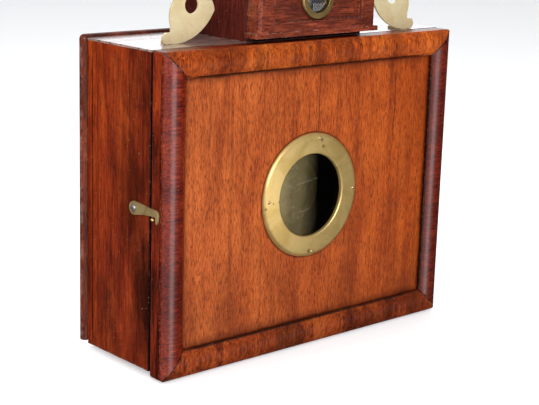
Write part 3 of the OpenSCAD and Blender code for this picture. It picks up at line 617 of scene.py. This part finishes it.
BY_SLOT = {"case_wood": SIDE, "moulding_wood": RAILW, "panel_veneer": PANEL,
           "blacked_wood": BLACKW, "brass": BRASS, "pale_brass": PALEB, "steel": STEEL,
           "window_glass": PANE, "lens_glass": LENSG, "ground_glass": GROUND,
           "mirror": MIRROR, "velvet": VELVET, "bellows_cloth": BELLOWS}
BY_NODE = {"top_board": TOP_WOOD_AND_SHEEN, "bottom_board": TOP_WOOD_AND_SHEEN, "back_board": BACKW, "screen_frame": BACKW,
           "door_frame": FRAMEW, "moulding_left": STILEW, "moulding_right": STILER,
           "moulding_bottom": LOWRAIL, "lens_standard": BLACKW, "rising_panel": BLACKW,
           "finder_left_side": FINDS, "finder_right_side": FINDS, "finder_back": FINDW,
           "finder_door": FINDW, "finder_lid": FINDW, "ear_left": EARB, "ear_right": EARB,
           "window_ring": RINGB, "window_pins": PALEB, "latch_hook": HOOKB,
           "latch_screw": DARKS}
for name, ob in NODES.items():
    ob.data.materials.clear()
    ob.data.materials.append(BY_NODE.get(name, BY_SLOT[SLOT[name]]))


# ---------------------------------------------------------- pieces, in metres
def mesh_piece(name, verts, faces, mat):
    me = bpy.data.meshes.new(name)
    me.from_pydata([tuple(v) for v in verts], [], faces)
    me.update()
    ob = bpy.data.objects.new(name, me)
    bpy.context.scene.collection.objects.link(ob)
    me.materials.append(mat)
    return ob


FOLDS = 11
FOLD_DEPTH = 0.0075
RIDGE_CUT, VALLEY_CUT = 0.004, 0.0075     # how much of each corner is cut off
FRONT_HALF = (0.036, 0.046)               # half width and height at the lens standard
FRONT_LIFT = 0.002                        # its centre is this far above the window's
LEATHER = 0.0006


def octagon(cx, y, cz, hw, hh, cut):
    """A rectangle with cut corners, facing along y."""
    ring = [(-hw + cut, -hh), (hw - cut, -hh), (hw, -hh + cut), (hw, hh - cut),
            (hw - cut, hh), (-hw + cut, hh), (-hw, hh - cut), (-hw, -hh + cut)]
    return [(cx + a, y, cz + b) for a, b in ring]


def bellows():
    """Tapered pleats with cut corners, from the lens standard to the back board."""
    (x0, y0, z0), (x1, y1, z1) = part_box("bellows")
    steps = FOLDS * 2
    front = (WIN.x, WIN.z + FRONT_LIFT, *FRONT_HALF)
    back = ((x0 + x1) / 2, (z0 + z1) / 2, (x1 - x0) / 2, (z1 - z0) / 2)
    verts, faces = [], []
    for i in range(steps + 1):
        t = i / steps
        cx, cz, hw, hh = (a + (b - a) * t for a, b in zip(front, back))
        inset, cut = (0.0, RIDGE_CUT) if i % 2 == 0 else (FOLD_DEPTH, VALLEY_CUT)
        verts += octagon(cx, y0 + (y1 - y0) * t, cz, hw - inset, hh - inset, cut)
    for i in range(steps):
        for k in range(8):
            a, b = i * 8 + k, i * 8 + (k + 1) % 8
            faces.append((a, b, b + 8, a + 8))
    ob = mesh_piece("bellows_pleats", verts, faces, BELLOWS)
    thick = ob.modifiers.new("thick", "SOLIDIFY")
    thick.thickness = LEATHER
    thick.offset = -1
    bpy.context.view_layer.objects.active = ob
    ob.select_set(True)
    bpy.ops.object.modifier_apply(modifier="thick")
    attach(ob, "case")
    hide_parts("bellows")
    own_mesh(ob)


bellows()


# -------------------------------------------------------------- stage, in metres
def pale_floor():
    n = Net("pale_floor")
    soft = n.noise(n.stretch(n.place(), (0.004, 0.004, 0.004)), 1.0, 3, 0.5)
    return n.finish(n.principled(
        Base_Color=n.mix(soft, (0.86, 0.865, 0.875), (0.88, 0.885, 0.89)),
        Roughness=n.plus(0.6, n.mul(soft, 0.1)), Specular_IOR_Level=0.2,
        Emission_Color=(0.97, 0.985, 1.0), Emission_Strength=0.31))


FLOOR_HALF = 9
z_floor = START[0][2]
floor = mesh_piece("floor", [(x * FLOOR_HALF, y * FLOOR_HALF, z_floor)
                             for x, y in ((-1, -1), (1, -1), (1, 1), (-1, 1))],
                   [(0, 1, 2, 3)], pale_floor())
floor.visible_glossy = False

scene = bpy.context.scene


def sky(colour, base, lobes):
    """A dark studio with soft pale panels: (direction, inner and outer angle, strength)."""
    world = bpy.data.worlds.new("studio")
    world.use_nodes = True
    tree = world.node_tree
    coord = tree.nodes.new("ShaderNodeTexCoord")
    total = None
    for at, inner, outer, strength in lobes:
        dot = tree.nodes.new("ShaderNodeVectorMath")
        dot.operation = "DOT_PRODUCT"
        tree.links.new(coord.outputs["Generated"], dot.inputs[0])
        dot.inputs[1].default_value = Vector(at).normalized()
        fade = tree.nodes.new("ShaderNodeMapRange")
        fade.interpolation_type = "SMOOTHSTEP"
        tree.links.new(dot.outputs["Value"], fade.inputs["Value"])
        fade.inputs["From Min"].default_value = math.cos(math.radians(outer))
        fade.inputs["From Max"].default_value = math.cos(math.radians(inner))
        fade.inputs["To Max"].default_value = strength
        add = tree.nodes.new("ShaderNodeMath")
        add.operation = "ADD"
        tree.links.new(fade.outputs[0], add.inputs[0])
        if total is None:
            add.inputs[1].default_value = base
        else:
            tree.links.new(total, add.inputs[1])
        total = add.outputs[0]
    back = tree.nodes["Background"]
    back.inputs[0].default_value = (*colour, 1)
    tree.links.new(total, back.inputs[1])
    scene.world = world


AIM = Vector((0, 0, 0.12))


def softbox(name, at, size, watts, seen):
    """A square light aimed at the part; seen says whether it shows in reflections."""
    data = bpy.data.lights.new(name, "AREA")
    data.shape = "RECTANGLE"
    data.size, data.size_y = size
    data.energy = watts
    ob = bpy.data.objects.new(name, data)
    scene.collection.objects.link(ob)
    ob.location = at
    ob.rotation_euler = (AIM - Vector(at)).to_track_quat("-Z", "Y").to_euler()
    ob.visible_glossy = seen


sky((0.97, 0.98, 1.0), 0.03,
    (((0.14, -0.97, -0.2), 5, 19, 3.2),       # the bright streak down the left stile
     ((-0.45, -0.87, -0.1), 10, 40, 0.7),
     ((0.36, -0.9, -0.15), 6, 30, 0.45),
     ((0.66, 0.72, 0.3), 10, 40, 1.8),        # the pale sheen on the top board
     ((0.0, 0.0, 1.0), 30, 80, 0.4)))
softbox("key", (-1.3, -1.5, 1.2), (1.0, 1.0), 36, seen=True)
softbox("fill", (1.3, -1.7, 0.9), (1.2, 1.2), 13, seen=False)
softbox("side", (-1.9, 0.2, 0.8), (1.2, 1.2), 17, seen=False)
softbox("top", (0.0, 0.4, 2.0), (1.6, 1.2), 16, seen=False)

# ------------------------------------------- camera, solved on the photograph
YAW, PITCH, ROLL = (math.radians(a) for a in (41.95, 13.75, 1.74))
LENS, SENSOR = 92.79, 36                  # mm
MOULDING_RISE = 0.004                     # m, how far the mouldings' crowns stand out
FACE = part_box("moulding_left")[0][1] + MOULDING_RISE    # y of the mouldings' edges
STAND = (WIN.x - 0.7401, FACE - 0.7736, WIN.z + 0.2550)

ahead = Vector((math.sin(YAW) * math.cos(PITCH), math.cos(YAW) * math.cos(PITCH),
                -math.sin(PITCH)))
right = Vector((math.cos(YAW), -math.sin(YAW), 0))
up = right.cross(ahead)
across = right * math.cos(ROLL) + up * math.sin(ROLL)
above = up * math.cos(ROLL) - right * math.sin(ROLL)
cam_data = bpy.data.cameras.new("camera")
cam_data.sensor_width = SENSOR
cam_data.sensor_fit = "HORIZONTAL"
cam_data.lens = LENS
cam = bpy.data.objects.new("camera", cam_data)
scene.collection.objects.link(cam)
cam.matrix_world = Matrix([(across[k], above[k], -ahead[k], STAND[k]) for k in (X, Y, Z)]
                          + [(0, 0, 0, 1)])
scene.camera = cam
scene.view_settings.view_transform = "Standard"
